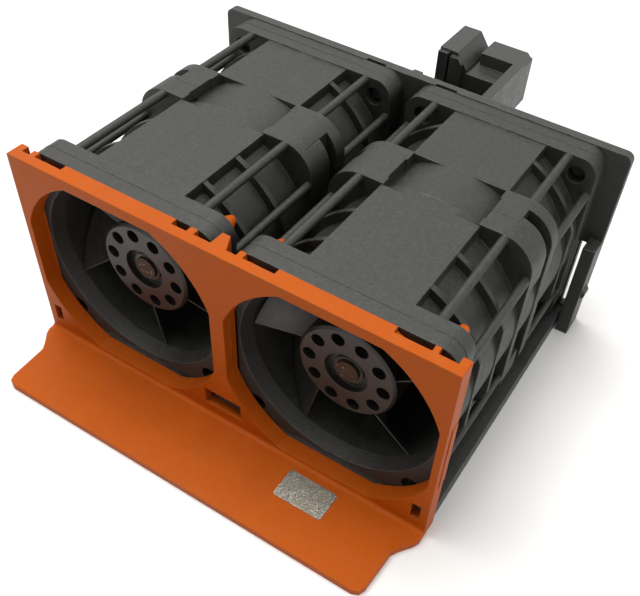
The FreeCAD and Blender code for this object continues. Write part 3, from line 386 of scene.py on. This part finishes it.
def turned_metal(name, main, shade, roughness, rings):
    """Turned or ground metal: fine rings along the axis and slow tarnish."""
    made, tree, shader = new_finish(name, roughness, metallic=1.0)
    place = own_place(tree)
    lathe = put(tree, "ShaderNodeTexWave", {"Vector": place}, wave_type="BANDS", bands_direction="Y",
                Scale=rings, Distortion=2.0, Detail=2.0)
    stain = put(tree, "ShaderNodeTexNoise", {"Vector": place}, Scale=500.0, Detail=5.0, Roughness=0.65)
    tarnish = stretch(tree, stain.outputs[0], low=0.35, high=0.65)
    tree.links.new(blend_colour(tree, tarnish, main, shade), shader.inputs["Base Color"])
    gloss = stretch(tree, stain.outputs[0], low=0.3, high=0.7,
                    to_low=roughness - 0.08, to_high=roughness + 0.12)
    tree.links.new(gloss, shader.inputs["Roughness"])
    emboss(tree, shader, {"Height": lathe.outputs[0]}, strength=0.6, depth=RING_DEPTH)
    return made


tube_brass = turned_metal(
    "turned brass", main=(0.62, 0.44, 0.17, 1), shade=(0.38, 0.25, 0.09, 1),
    roughness=0.32, rings=5200.0)
bearing_steel = turned_metal(
    "bearing steel", main=(0.55, 0.55, 0.54, 1), shade=(0.40, 0.40, 0.39, 1),
    roughness=0.22, rings=9000.0)
shaft_steel = turned_metal(
    "ground shaft steel", main=(0.60, 0.60, 0.59, 1), shade=(0.44, 0.43, 0.42, 1),
    roughness=0.2, rings=12000.0)
for half in FAN_HALVES:
    finish_node("bearing_tube_" + half, tube_brass)
    finish_node("bearings_" + half, bearing_steel)
    finish_node("shaft_" + half, shaft_steel)


# ---------------------------------------------------------------- stators
# Stacked electrical steel sheets with enamelled copper wound on six teeth, over
# a small green circuit board in the bottom of the cup.
def laminated_steel():
    """Edges of stacked sheets, with a little rust."""
    sheet_gap = (0.16, 0.16, 0.16, 1)
    sheet_edge = (0.36, 0.36, 0.35, 1)
    rust_brown = (0.20, 0.10, 0.05, 1)
    made, tree, shader = new_finish("laminated steel", roughness=0.45, metallic=0.9)
    place = own_place(tree)
    sheets = put(tree, "ShaderNodeTexWave", {"Vector": place}, wave_type="BANDS", bands_direction="Y",
                 Scale=620.0, Distortion=0.3, Detail=1.0)
    rust = put(tree, "ShaderNodeTexNoise", {"Vector": place}, Scale=700.0, Detail=5.0, Roughness=0.7)
    steel = blend_colour(tree, sheets.outputs[0], sheet_gap, sheet_edge)
    rusted = stretch(tree, rust.outputs[0], low=0.58, high=0.72)
    tree.links.new(blend_colour(tree, rusted, steel, rust_brown), shader.inputs["Base Color"])
    emboss(tree, shader, {"Height": sheets.outputs[0]}, strength=1.0, depth=0.00004)
    return made


def wound_copper():
    """Copper under enamel, with painted shade between the turns and painted light on them."""
    shade_between_turns = (0.20, 0.06, 0.02, 1)
    lit_turn = (0.70, 0.27, 0.10, 1)
    dark_enamel = (0.42, 0.14, 0.05, 1)
    made, tree, shader = new_finish("enamelled copper wire", roughness=0.28, metallic=0.9)
    place = own_place(tree)
    turns = put(tree, "ShaderNodeTexWave", {"Vector": place}, wave_type="BANDS", bands_direction="Y",
                wave_profile="SIN", Scale=1600.0, Distortion=0.8, Detail=1.0)
    shade = put(tree, "ShaderNodeTexNoise", {"Vector": place}, Scale=900.0, Detail=3.0)
    # Painted shade between the turns and painted light on their crowns.
    wire = blend_colour(tree, turns.outputs[0], shade_between_turns, lit_turn)
    shaded = stretch(tree, shade.outputs[0], low=0.5, high=0.7)
    tree.links.new(blend_colour(tree, shaded, wire, dark_enamel), shader.inputs["Base Color"])
    emboss(tree, shader, {"Height": turns.outputs[0]}, strength=1.0, depth=0.00012)
    return made


def motor_board_green():
    """Solder mask over tracks and a woven base."""
    pad_green = (0.012, 0.085, 0.035, 1)
    dark_pad_green = (0.010, 0.070, 0.030, 1)
    track_green = (0.03, 0.16, 0.06, 1)
    weave_green = (0.02, 0.12, 0.05, 1)
    made, tree, shader = new_finish("board solder mask", roughness=0.35)
    place = own_place(tree)
    tracks = put(tree, "ShaderNodeTexBrick", {"Vector": place}, Scale=700.0, Mortar_Size=0.09,
                 Color1=pad_green, Color2=dark_pad_green, Mortar=track_green)
    weave = put(tree, "ShaderNodeTexNoise", {"Vector": place}, Scale=3000.0, Detail=2.0)
    woven = stretch(tree, weave.outputs[0], low=0.4, high=0.6, to_low=0.0, to_high=0.3)
    tree.links.new(blend_colour(tree, woven, tracks.outputs["Color"], weave_green),
                   shader.inputs["Base Color"])
    emboss(tree, shader, {"Height": tracks.outputs["Fac"]}, strength=0.5, depth=0.00003, invert=True)
    return made


def coil_tree():
    """Turns of wire in two layers round a tooth, repeated round the shaft."""
    tree, start, end = pattern_tree(
        "wound teeth", Wire="Float", Inner_width="Float", Inner_height="Float", Layer="Float",
        First_turn="Float", Turn_pitch="Float", Turns="Int", Teeth="Int", Centre="Vector",
        Finish="Material")
    wire = put(tree, "GeometryNodeCurvePrimitiveCircle", {"Radius": start["Wire"]}, Resolution=7)
    layers = put(tree, "GeometryNodeJoinGeometry")
    for layer in (0, 1):
        wider = reckon(tree, "MULTIPLY", start["Layer"], layer)
        loop = put(tree, "GeometryNodeCurvePrimitiveQuadrilateral", {
            "Width": reckon(tree, "ADD", start["Inner width"], wider),
            "Height": reckon(tree, "ADD", start["Inner height"], wider)})
        bent = put(tree, "GeometryNodeFilletCurve", {"Curve": loop.outputs[0]},
                   mode="POLY", Count=4, Radius=0.0005)
        turn = put(tree, "GeometryNodeCurveToMesh",
                   {"Curve": bent.outputs[0], "Profile Curve": wire.outputs[0]})
        tree.links.new(turn.outputs[0], layers.inputs[0])
    facing = put(tree, "GeometryNodeTransform", {"Geometry": layers.outputs[0]},
                 Rotation=(0.0, math.pi / 2, 0.0))
    out = put(tree, "ShaderNodeCombineXYZ", {0: start["First turn"]})
    step_out = put(tree, "ShaderNodeCombineXYZ", {0: start["Turn pitch"]})
    row = put(tree, "GeometryNodeMeshLine", {
        "Count": start["Turns"], "Start Location": out.outputs[0], "Offset": step_out.outputs[0]})
    coil = put(tree, "GeometryNodeInstanceOnPoints",
               {"Points": row.outputs[0], "Instance": facing.outputs[0]})
    spots = put(tree, "GeometryNodeMeshLine", {"Count": start["Teeth"]}, Offset=(0.0, 0.0, 0.0))
    share = reckon(tree, "DIVIDE", 2 * math.pi, start["Teeth"])
    turned = reckon(tree, "MULTIPLY", put(tree, "GeometryNodeInputIndex").outputs[0], share)
    spin = put(tree, "ShaderNodeCombineXYZ", {1: turned})
    ring = put(tree, "GeometryNodeInstanceOnPoints", {
        "Points": spots.outputs[0], "Instance": coil.outputs[0], "Rotation": spin.outputs[0]})
    placed = put(tree, "GeometryNodeTransform",
                 {"Geometry": ring.outputs[0], "Translation": start["Centre"]})
    close_tree(tree, end, placed.outputs[0], start["Finish"])
    return tree


# A loop's width runs round the shaft and its height along the shaft. The first
# turn and the turn pitch are counted outwards from the shaft's middle.
WIRE_RADIUS = 0.00012
COIL_WIDTH = 0.00182
COIL_HEIGHT = 0.00932
LAYER_GROWTH = 0.00048
FIRST_TURN = 0.00427
TURN_PITCH = 0.00031
TURNS = 3
TEETH = 6
lamination_steel = laminated_steel()
winding_copper = wound_copper()
board_green = motor_board_green()
wound_teeth = coil_tree()
for half in FAN_HALVES:
    finish_node("stator_core_" + half, lamination_steel)
    finish_node("windings_" + half, winding_copper)
    finish_node("motor_board_" + half, board_green)
    low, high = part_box("windings_" + half)
    coils = grow(wound_teeth, "coils_" + half, wire=WIRE_RADIUS, inner_width=COIL_WIDTH,
                 inner_height=COIL_HEIGHT, layer=LAYER_GROWTH, first_turn=FIRST_TURN,
                 turn_pitch=TURN_PITCH, turns=TURNS, teeth=TEETH, finish=winding_copper,
                 centre=axis_point(low, high, (low[1] + high[1]) / 2))
    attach(coils, "module")
    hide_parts("windings_" + half)


# ---------------------------------------------------------------- board parts
# Each motor board carries a driver chip with bent tin legs, a position sensor
# and six ceramic chips, all soldered on the face that looks at the windings.
def bevelled_block(mesh, centre, size, edge, slot):
    """Adds a closed block with broken edges to a mesh and gives it a material slot."""
    made = bmesh.ops.create_cube(mesh, size=1.0)["verts"]
    for vert in made:
        vert.co = Vector([c + v * s for c, v, s in zip(centre, vert.co, size)])
    sides = {side for vert in made for side in vert.link_edges}
    bmesh.ops.bevel(mesh, geom=list(sides), offset=edge, segments=2, affect="EDGES", profile=0.5)
    faces = [face for face in mesh.faces if not face.tag]
    for face in faces:
        face.material_index = slot
        face.tag = True


def leg_tree():
    """A row of short round legs that slope to the board, on both sides of a chip."""
    tree, start, end = pattern_tree(
        "chip legs", Legs="Int", Pitch="Float", Spread="Float", Radius="Float", Turn="Vector",
        Centre="Vector", Finish="Material")
    leg_end = (0.0004, 0.0, -0.00025)
    slope = put(tree, "GeometryNodeCurvePrimitiveLine", Start=(0.0, 0.0, 0.0), End=leg_end)
    profile = put(tree, "GeometryNodeCurvePrimitiveCircle", {"Radius": start["Radius"]}, Resolution=6)
    strip = put(tree, "GeometryNodeCurveToMesh",
                {"Curve": slope.outputs[0], "Profile Curve": profile.outputs[0]}, Fill_Caps=True)
    gaps = reckon(tree, "SUBTRACT", start["Legs"], 1.0)
    run = reckon(tree, "MULTIPLY", gaps, start["Pitch"])
    sides = put(tree, "GeometryNodeJoinGeometry")
    for turn in (0.0, math.pi):
        first = put(tree, "ShaderNodeCombineXYZ",
                    {0: start["Spread"], 1: reckon(tree, "MULTIPLY", run, -0.5)})
        step = put(tree, "ShaderNodeCombineXYZ", {1: start["Pitch"]})
        row = put(tree, "GeometryNodeMeshLine", {
            "Count": start["Legs"], "Start Location": first.outputs[0], "Offset": step.outputs[0]})
        legs = put(tree, "GeometryNodeInstanceOnPoints",
                   {"Points": row.outputs[0], "Instance": strip.outputs[0]})
        side = put(tree, "GeometryNodeTransform", {"Geometry": legs.outputs[0]},
                   Rotation=(0.0, 0.0, turn))
        tree.links.new(side.outputs[0], sides.inputs[0])
    placed = put(tree, "GeometryNodeTransform", {
        "Geometry": sides.outputs[0], "Translation": start["Centre"], "Rotation": start["Turn"]})
    close_tree(tree, end, placed.outputs[0], start["Finish"])
    return tree


chip_black = moulded_plastic(
    "chip epoxy", main=(0.020, 0.020, 0.021, 1), deep=(0.014, 0.014, 0.015, 1),
    rubbed_and_highlight=(0.09, 0.09, 0.09, 1), roughness=0.5, pits=9000.0, pit_depth=0.00001, flow=900.0,
    edge=0.00008, wear_share=0.3, dust_share=0.05)
chip_ceramic = moulded_plastic(
    "chip ceramic", main=(0.36, 0.27, 0.17, 1), deep=(0.27, 0.19, 0.12, 1),
    rubbed_and_highlight=(0.55, 0.54, 0.52, 1), roughness=0.4, pits=9000.0, pit_depth=0.00001, flow=1500.0,
    edge=0.00008, wear_share=0.5, dust_share=0.05)
leg_tin = turned_metal(
    "tinned legs", main=(0.62, 0.61, 0.58, 1), shade=(0.42, 0.41, 0.39, 1),
    roughness=0.3, rings=9000.0)

# Sizes run across the board, along the fan axis and up. A seat is how far a
# part's middle stands out from the board's face.
DRIVER_CHIP = (0.0020, 0.00050, 0.0026)
DRIVER_EDGE = 0.00006
DRIVER_SEAT = 0.00027
SENSOR = (0.0010, 0.00040, 0.0015)
SENSOR_SEAT = 0.00022
SENSOR_OUT = 0.0060
CERAMIC_CHIP = (0.0006, 0.00036, 0.0011)
CERAMIC_SEAT = 0.00020
SMALL_EDGE = 0.00005
PART_CIRCLE = 0.0062  # how far the driver and the ceramic chips lie from the shaft
CERAMIC_CHIPS = 6
FIRST_CERAMIC = 200.0
CERAMIC_STEP = 28.0
LEGS = 4
LEG_PITCH = 0.0006
LEG_SPREAD = 0.00095
LEG_RADIUS = 0.00009
LEG_SEAT = 0.00034
chip_legs = leg_tree()
for half in FAN_HALVES:
    low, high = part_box("motor_board_" + half)
    faces_front = half.endswith("front")
    face = low[1] if faces_front else high[1]
    outward = -1.0 if faces_front else 1.0
    middle = Vector(axis_point(low, high, face))
    parts = bmesh.new()
    driver_spot = middle + Vector((0.0, outward * DRIVER_SEAT, PART_CIRCLE))
    sensor_spot = middle + Vector((-SENSOR_OUT, outward * SENSOR_SEAT, 0.0))
    bevelled_block(parts, driver_spot, DRIVER_CHIP, DRIVER_EDGE, slot=0)
    bevelled_block(parts, sensor_spot, SENSOR, SMALL_EDGE, slot=0)
    for step in range(CERAMIC_CHIPS):
        turn = math.radians(FIRST_CERAMIC + CERAMIC_STEP * step)
        across, up = PART_CIRCLE * math.cos(turn), PART_CIRCLE * math.sin(turn)
        ceramic_spot = middle + Vector((across, outward * CERAMIC_SEAT, up))
        bevelled_block(parts, ceramic_spot, CERAMIC_CHIP, SMALL_EDGE, slot=1)
    board_mesh = bpy.data.meshes.new("board_parts_" + half)
    parts.to_mesh(board_mesh)
    parts.free()
    board_mesh.materials.append(chip_black)
    board_mesh.materials.append(chip_ceramic)
    board_parts = stand("board_parts_" + half, board_mesh)
    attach(board_parts, "module")
    legs = grow(chip_legs, "chip_legs_" + half, legs=LEGS, pitch=LEG_PITCH, spread=LEG_SPREAD,
                radius=LEG_RADIUS, turn=(-outward * math.pi / 2, 0.0, 0.0), finish=leg_tin,
                centre=tuple(middle + Vector((0.0, outward * LEG_SEAT, PART_CIRCLE))))
    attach(legs, "module")


# ---------------------------------------------------------------- rotors
# Brown-black moulded hub and blades over a blackened steel cup with a ferrite
# ring in it, and a knurled bronze bush pressed in the hub's centre. Handling has
# polished the hub, and air leaves dust on the blades.
rotor_plastic = moulded_plastic(
    "rotor polyester", main=(0.0150, 0.0128, 0.0105, 1), deep=(0.0105, 0.0092, 0.0078, 1),
    rubbed_and_highlight=(0.11, 0.09, 0.072, 1), roughness=0.38, pits=6000.0, pit_depth=0.00002, flow=200.0,
    edge=0.0002, wear_share=0.45, dust_share=0.1, speck_share=0.12)
cup_steel = turned_metal(
    "blackened cup steel", main=(0.050, 0.047, 0.043, 1), shade=(0.022, 0.021, 0.020, 1),
    roughness=0.48, rings=3000.0)


def ferrite():
    """Dull, grainy magnet material."""
    dark_grain = (0.03, 0.03, 0.032, 1)
    pale_grain = (0.075, 0.072, 0.07, 1)
    made, tree, shader = new_finish("ferrite", roughness=0.6, metallic=0.2)
    grain = put(tree, "ShaderNodeTexNoise", {"Vector": own_place(tree)},
                Scale=4000.0, Detail=4.0, Roughness=0.7)
    sintered = stretch(tree, grain.outputs[0], low=0.35, high=0.65)
    tree.links.new(blend_colour(tree, sintered, dark_grain, pale_grain), shader.inputs["Base Color"])
    emboss(tree, shader, {"Height": grain.outputs[0]}, strength=0.8, depth=0.00004)
    return made


def bush_bronze():
    """Sintered bronze: bright grains and pores full of oil."""
    dark_grain = (0.050, 0.026, 0.015, 1)
    bright_grain = (0.34, 0.24, 0.15, 1)
    oiled_pore = (0.020, 0.012, 0.009, 1)
    made, tree, shader = new_finish("sintered bronze", roughness=0.55, metallic=0.65)
    place = own_place(tree)
    grains = put(tree, "ShaderNodeTexVoronoi", {"Vector": place}, Scale=3600.0)
    pores = put(tree, "ShaderNodeTexNoise", {"Vector": place}, Scale=2600.0, Detail=4.0, Roughness=0.7)
    lit = stretch(tree, grains.outputs["Color"], low=0.80, high=0.95)
    bronze = blend_colour(tree, lit, dark_grain, bright_grain)
    oiled = stretch(tree, pores.outputs[0], low=0.5, high=0.62)
    tree.links.new(blend_colour(tree, oiled, bronze, oiled_pore), shader.inputs["Base Color"])
    emboss(tree, shader, {"Height": grains.outputs["Distance"]}, strength=1.0, depth=0.00005)
    return made


def bush_tree():
    """A knurled disc: a many-pointed star, filled, thickened and closed."""
    tree, start, end = pattern_tree(
        "knurled bush", Radius="Float", Knurl_depth="Float", Knurls="Int", Height="Float",
        Centre="Vector", Finish="Material")
    star = put(tree, "GeometryNodeCurveStar", {
        "Points": start["Knurls"], "Outer Radius": start["Radius"],
        "Inner Radius": reckon(tree, "SUBTRACT", start["Radius"], start["Knurl depth"])})
    base = put(tree, "GeometryNodeFillCurve", {"Curve": star.outputs[0]}, mode="NGONS")
    top = put(tree, "GeometryNodeExtrudeMesh",
              {"Mesh": base.outputs[0], "Offset Scale": start["Height"]}, mode="FACES", Individual=False)
    under = put(tree, "GeometryNodeFlipFaces", {"Mesh": base.outputs[0]})
    both = put(tree, "GeometryNodeJoinGeometry")
    tree.links.new(top.outputs[0], both.inputs[0])
    tree.links.new(under.outputs[0], both.inputs[0])
    joined = put(tree, "GeometryNodeMergeByDistance", {"Geometry": both.outputs[0]}, Distance=0.00001)
    placed = put(tree, "GeometryNodeTransform",
                 {"Geometry": joined.outputs[0], "Translation": start["Centre"]},
                 Rotation=(math.pi / 2, 0.0, 0.0))
    close_tree(tree, end, placed.outputs[0], start["Finish"])
    return tree


HUB_RECESS = 0.0031  # the hub's face behind the end of its frame
CENTRE_RECESS = 0.0008  # the hub's centre behind its face
BUSH_RADIUS = 0.0023
BUSH_HEIGHT = 0.0005
KNURL_DEPTH = 0.00014
KNURLS = 30
ferrite_ring = ferrite()
hub_bronze = bush_bronze()
knurled_bush = bush_tree()
for half in FAN_HALVES:
    finish_node("rotor_" + half, rotor_plastic)
    finish_node("yoke_" + half, cup_steel)
    finish_node("magnet_" + half, ferrite_ring)
    low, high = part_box("frame_" + half)
    if half.endswith("front"):
        bush_seat = low[1] + (HUB_RECESS + CENTRE_RECESS)
    else:
        bush_seat = high[1] - (HUB_RECESS + CENTRE_RECESS) + BUSH_HEIGHT
    bush = grow(knurled_bush, "hub_bush_" + half, radius=BUSH_RADIUS, knurl_depth=KNURL_DEPTH,
                knurls=KNURLS, height=BUSH_HEIGHT, finish=hub_bronze,
                centre=axis_point(low, high, bush_seat))
    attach(bush, "rotor_" + half + "_turning")


# ---------------------------------------------------------------- rear carrier
# Black glass-filled nylon: rear plate, corner posts and base rails in one. The
# bezel clips on to the rails, and the plate's pegs hold the fans from behind.
carrier_nylon = moulded_plastic(
    "carrier nylon", main=(0.0165, 0.0165, 0.0148, 1), deep=(0.0125, 0.0126, 0.0115, 1),
    rubbed_and_highlight=(0.12, 0.12, 0.105, 1), roughness=0.52, pits=3400.0, pit_depth=0.00007, flow=260.0,
    edge=0.00034, wear_share=0.6, dust_share=0.09, speck_share=0.08)
finish_node("rear_carrier", carrier_nylon)


# ---------------------------------------------------------------- connector
# Black liquid-crystal polymer housing behind the plate, with an open tray for
# the leads and eight stamped, tin-plated contacts at its mouth.
connector_plastic = moulded_plastic(
    "connector polymer", main=(0.0220, 0.0220, 0.0200, 1), deep=(0.0165, 0.0166, 0.0152, 1),
    rubbed_and_highlight=(0.13, 0.13, 0.12, 1), roughness=0.42, pits=7000.0, pit_depth=0.00002, flow=260.0,
    edge=0.0002, wear_share=0.4, dust_share=0.06, speck_share=0.08)
contact_tin = turned_metal(
    "tinned contact", main=(0.70, 0.62, 0.42, 1), shade=(0.50, 0.44, 0.30, 1),
    roughness=0.28, rings=8000.0)
finish_node("connector_housing", connector_plastic)
finish_node("connector_contacts", contact_tin)


# ---------------------------------------------------------------- studio
# A pale floor that runs on without an edge, one soft lamp overhead, one from the
# right and a faint one low in front. The camera looks down on the module from
# in front, a little to the right.
FLOOR_REACH = 2.0
FADE_START = 0.16  # metres from the bezel where the floor starts to turn white
FADE_END = 0.55
FLOOR_LIT = (0.62, 0.62, 0.62, 1)
FLOOR_SEEN = (0.80, 0.80, 0.80, 1)
BLACK = (0.0, 0.0, 0.0, 1)
WHITE = (1.0, 1.0, 1.0, 1)
AIR_LIGHT = 0.18  # how much the air lights the object
AIR_SEEN = 1.0  # how bright the air looks behind it


def seen_rays(tree):
    """1 for rays that show the studio itself: straight, mirrored or through glass."""
    path = put(tree, "ShaderNodeLightPath").outputs
    straight = reckon(tree, "MAXIMUM", path["Is Camera Ray"], path["Is Transmission Ray"])
    return reckon(tree, "MAXIMUM", straight, path["Is Glossy Ray"])


def floor_finish():
    """A pale matt floor that turns white with distance for rays that show it."""
    made, tree, shader = new_finish("studio floor", roughness=0.9)
    seen = seen_rays(tree)
    place = own_place(tree)
    away = put(tree, "ShaderNodeVectorMath", {0: place}, operation="LENGTH").outputs["Value"]
    far = reckon(tree, "MULTIPLY", seen, stretch(tree, away, FADE_START, FADE_END))
    tint = blend_colour(tree, seen, FLOOR_LIT, FLOOR_SEEN)
    tree.links.new(blend_colour(tree, far, tint, BLACK), shader.inputs["Base Color"])
    shader.inputs["Emission Color"].default_value = WHITE
    tree.links.new(far, shader.inputs["Emission Strength"])
    return made


corners = [(x * FLOOR_REACH, y * FLOOR_REACH, 0) for x, y in ((-1, -1), (1, -1), (1, 1), (-1, 1))]
floor_mesh = bpy.data.meshes.new("floor")
floor_mesh.from_pydata(corners, [], [(0, 1, 2, 3)])
floor_mesh.materials.append(floor_finish())
floor = stand("floor", floor_mesh)

LAMP_TINT = (1.0, 0.985, 0.955)
LAMP_AIM = Vector((0.0, 0.025, 0.02))


def soft_lamp(name, place, size, watts):
    """A round lamp that looks at the middle of the module."""
    lamp = bpy.data.lights.new(name, "AREA")
    lamp.shape = "DISK"
    lamp.size = size
    lamp.energy = watts
    lamp.color = LAMP_TINT
    holder = stand(name, lamp)
    holder.location = place
    holder.rotation_euler = (LAMP_AIM - Vector(place)).to_track_quat("-Z", "Y").to_euler()


soft_lamp("key", (-0.17, 0.06, 0.66), size=0.6, watts=6.7)
soft_lamp("fill", (0.50, 0.02, 0.38), size=0.6, watts=1.6)
soft_lamp("front", (-0.10, -0.55, 0.30), size=0.4, watts=0.45)

world = bpy.data.worlds.new("studio air")
bpy.context.scene.world = world
world.use_nodes = True
air = world.node_tree.nodes["Background"]
air_strength = stretch(world.node_tree, seen_rays(world.node_tree), low=0.0, high=1.0,
                       to_low=AIR_LIGHT, to_high=AIR_SEEN)
world.node_tree.links.new(air_strength, air.inputs["Strength"])
air.inputs["Color"].default_value = WHITE

eye = bpy.data.cameras.new("camera")
eye.lens = 47.19
eye.sensor_width = 36.0
eye.sensor_fit = "HORIZONTAL"
eye.shift_x = -0.0581
eye.shift_y = 0.0503
eye.clip_start = 0.01
eye.clip_end = 10.0
CAMERA_PLACE = (0.06434, -0.07307, 0.13087)
CAMERA_TURN = Matrix((
    (0.851265, -0.420517, 0.313867),
    (0.520595, 0.601817, -0.605638),
    (0.065790, 0.678956, 0.731225)))
camera = stand("camera", eye)
camera.matrix_world = Matrix.Translation(CAMERA_PLACE) @ CAMERA_TURN.to_4x4()
bpy.context.scene.camera = camera
bpy.context.scene.view_settings.view_transform = "Standard"
